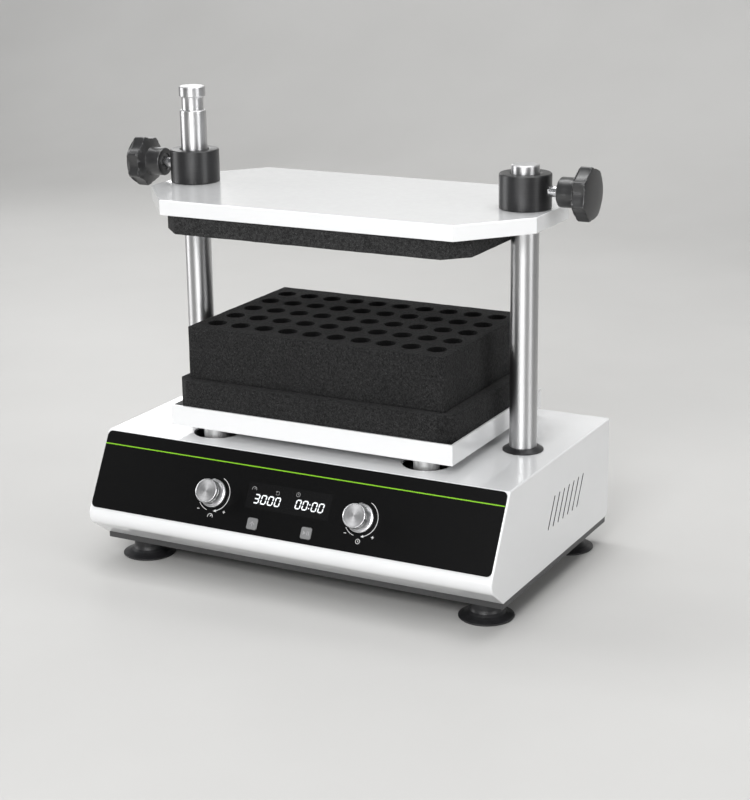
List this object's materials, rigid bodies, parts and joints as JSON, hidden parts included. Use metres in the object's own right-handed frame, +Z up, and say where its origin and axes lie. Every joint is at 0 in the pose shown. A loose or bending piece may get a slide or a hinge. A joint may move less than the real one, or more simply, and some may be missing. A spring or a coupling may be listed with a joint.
{
  "type": "multi-tube vortex mixer",
  "caption": "Bench mixer with an orbiting foam tube rack on a tray, a height-adjustable press plate on two guide posts with star-knob clamps, and a sloped control panel with dials and display.",
  "frame": {"origin": "on the bench plane under the four feet, midway between the axes of the two guide posts", "axes": "+X to the right along the machine's length, +Y from the control panel to the back, +Z up; front towards -Y"},
  "size_m": [0.4796, 0.2875, 0.4446],
  "materials": {
    "white_paint": "semi-gloss powder coat",
    "dark_plate": "satin dark coat",
    "black_rubber": "matte",
    "zinc_screw": "zinc plated",
    "black_film": "gloss",
    "window": "gloss tinted",
    "module": "matte",
    "board_green": "solder mask",
    "brass_parts": "turned",
    "encoder_case": "pressed",
    "spun_aluminium": "spun satin",
    "key_grey": "matte",
    "polished_post": "ground stainless",
    "steel_plain": "plain steel",
    "motor_case": "satin",
    "bronze": "sintered bronze",
    "cast_weight": "cast",
    "deck_alu": "plate",
    "foam_black": "open-cell foam",
    "press_white": "gloss",
    "collar_black": "satin black",
    "knob_black": "semi-gloss moulded",
    "inlet_black": "matte",
    "rocker_black": "gloss"
  },
  "bodies": {
    "frame": {"base_plate": "dark_plate", "foot_front_left": "black_rubber", "foot_front_right": "black_rubber", "foot_rear_left": "black_rubber", "foot_rear_right": "black_rubber", "foot_screws": "zinc_screw", "upper_housing": "white_paint", "housing_screws": "zinc_screw", "control_panel": "black_film", "display_window": "window", "display_module": "module", "control_board": "board_green", "board_spacers": "brass_parts", "speed_encoder": "encoder_case", "time_encoder": "encoder_case", "button_switches": "inlet_black", "drive_deck": "deck_alu", "deck_spacers": "steel_plain", "left_post": "polished_post", "right_post": "polished_post", "post_bolts": "zinc_screw", "post_flanges": "black_rubber", "motor": "motor_case", "idler_bearings": "deck_alu", "power_inlet": "inlet_black", "inlet_pins": "brass_parts", "power_switch": "inlet_black", "fuse_holder": "inlet_black", "power_supply": "board_green"},
    "crank": {"motor_shaft": "steel_plain", "eccentric_crank": "steel_plain", "counterweight": "cast_weight"},
    "carriage": {"eccentric_bearing": "steel_plain", "carriage_plate": "deck_alu", "carriage_bushes": "bronze", "tray_legs": "polished_post", "tray_screws": "zinc_screw", "tray": "white_paint", "base_foam_pad": "foam_black", "tube_rack": "foam_black"},
    "idler_front_left": {"idler_crank_front_left": "steel_plain"},
    "idler_front_right": {"idler_crank_front_right": "steel_plain"},
    "idler_rear_left": {"idler_crank_rear_left": "steel_plain"},
    "idler_rear_right": {"idler_crank_rear_right": "steel_plain"},
    "press": {"press_plate": "press_white", "press_pad": "foam_black", "left_collar": "collar_black", "right_collar": "collar_black", "collar_screws": "zinc_screw"},
    "left_screw": {"left_clamp_stud": "zinc_screw"},
    "right_screw": {"right_clamp_stud": "zinc_screw"},
    "left_star": {"left_star_knob": "knob_black"},
    "right_star": {"right_star_knob": "knob_black"},
    "speed_dial": {"speed_knob": "spun_aluminium", "speed_shaft": "spun_aluminium"},
    "time_dial": {"time_knob": "spun_aluminium", "time_shaft": "spun_aluminium"},
    "set_key": {"set_button": "key_grey"},
    "start_key": {"start_button": "key_grey"},
    "rocker": {"power_rocker": "rocker_black"}
  },
  "joints": [
    {"name": "crank_spin", "type": "hinge", "parent": "frame", "child": "crank", "pos_m": [0, 0.00485, 0.06], "axis": [0, 0, 1], "continuous": true},
    {"name": "carriage_swing", "type": "hinge", "parent": "crank", "child": "carriage", "pos_m": [0, 0.00285, 0.1], "axis": [0, 0, 1], "continuous": true},
    {"name": "idler_front_left_spin", "type": "hinge", "parent": "frame", "child": "idler_front_left", "pos_m": [-0.095, -0.03715, 0.06], "axis": [0, 0, 1], "continuous": true},
    {"name": "idler_front_right_spin", "type": "hinge", "parent": "frame", "child": "idler_front_right", "pos_m": [0.095, -0.03715, 0.06], "axis": [0, 0, 1], "continuous": true},
    {"name": "idler_rear_left_spin", "type": "hinge", "parent": "frame", "child": "idler_rear_left", "pos_m": [-0.095, 0.04685, 0.06], "axis": [0, 0, 1], "continuous": true},
    {"name": "idler_rear_right_spin", "type": "hinge", "parent": "frame", "child": "idler_rear_right", "pos_m": [0.095, 0.04685, 0.06], "axis": [0, 0, 1], "continuous": true},
    {"name": "press_lift", "type": "slide", "parent": "frame", "child": "press", "axis": [0, 0, 1], "range_m": [-0.0895, 0.0585]},
    {"name": "left_clamp", "type": "slide", "parent": "press", "child": "left_screw", "axis": [-1, 0, 0], "range_m": [0, 0.012]},
    {"name": "left_knob_turn", "type": "hinge", "parent": "left_screw", "child": "left_star", "pos_m": [-0.215, 0, 0.3693], "axis": [-1, 0, 0], "range_deg": [-1, 2881]},
    {"name": "right_clamp", "type": "slide", "parent": "press", "child": "right_screw", "axis": [1, 0, 0], "range_m": [0, 0.012]},
    {"name": "right_knob_turn", "type": "hinge", "parent": "right_screw", "child": "right_star", "pos_m": [0.215, 0, 0.3693], "axis": [1, 0, 0], "range_deg": [-1, 2881]},
    {"name": "speed_turn", "type": "hinge", "parent": "frame", "child": "speed_dial", "pos_m": [-0.0785, -0.13448, 0.0879], "axis": [0, -0.8788, 0.4772], "continuous": true},
    {"name": "time_turn", "type": "hinge", "parent": "frame", "child": "time_dial", "pos_m": [0.0762, -0.13448, 0.0879], "axis": [0, -0.8788, 0.4772], "continuous": true},
    {"name": "set_press", "type": "slide", "parent": "frame", "child": "set_key", "axis": [0, 0.8788, -0.4772], "range_m": [0, 0.0011], "stiffness_N_per_m": 900, "springref_m": -0.0006},
    {"name": "start_press", "type": "slide", "parent": "frame", "child": "start_key", "axis": [0, 0.8788, -0.4772], "range_m": [0, 0.0011], "stiffness_N_per_m": 900, "springref_m": -0.0006},
    {"name": "power_rock", "type": "hinge", "parent": "frame", "child": "rocker", "pos_m": [0.095, 0.1239, 0.066], "axis": [-1, 0, 0], "range_deg": [0, 20]}
  ],
  "couplings": [
    {"joint": "carriage_swing", "follows": "crank_spin", "ratio": -1},
    {"joint": "idler_front_left_spin", "follows": "crank_spin", "ratio": 1},
    {"joint": "idler_front_right_spin", "follows": "crank_spin", "ratio": 1},
    {"joint": "idler_rear_left_spin", "follows": "crank_spin", "ratio": 1},
    {"joint": "idler_rear_right_spin", "follows": "crank_spin", "ratio": 1},
    {"joint": "left_knob_turn", "follows": "left_clamp", "rad_per_m": 4188.8},
    {"joint": "right_knob_turn", "follows": "right_clamp", "rad_per_m": 4188.8}
  ]
}
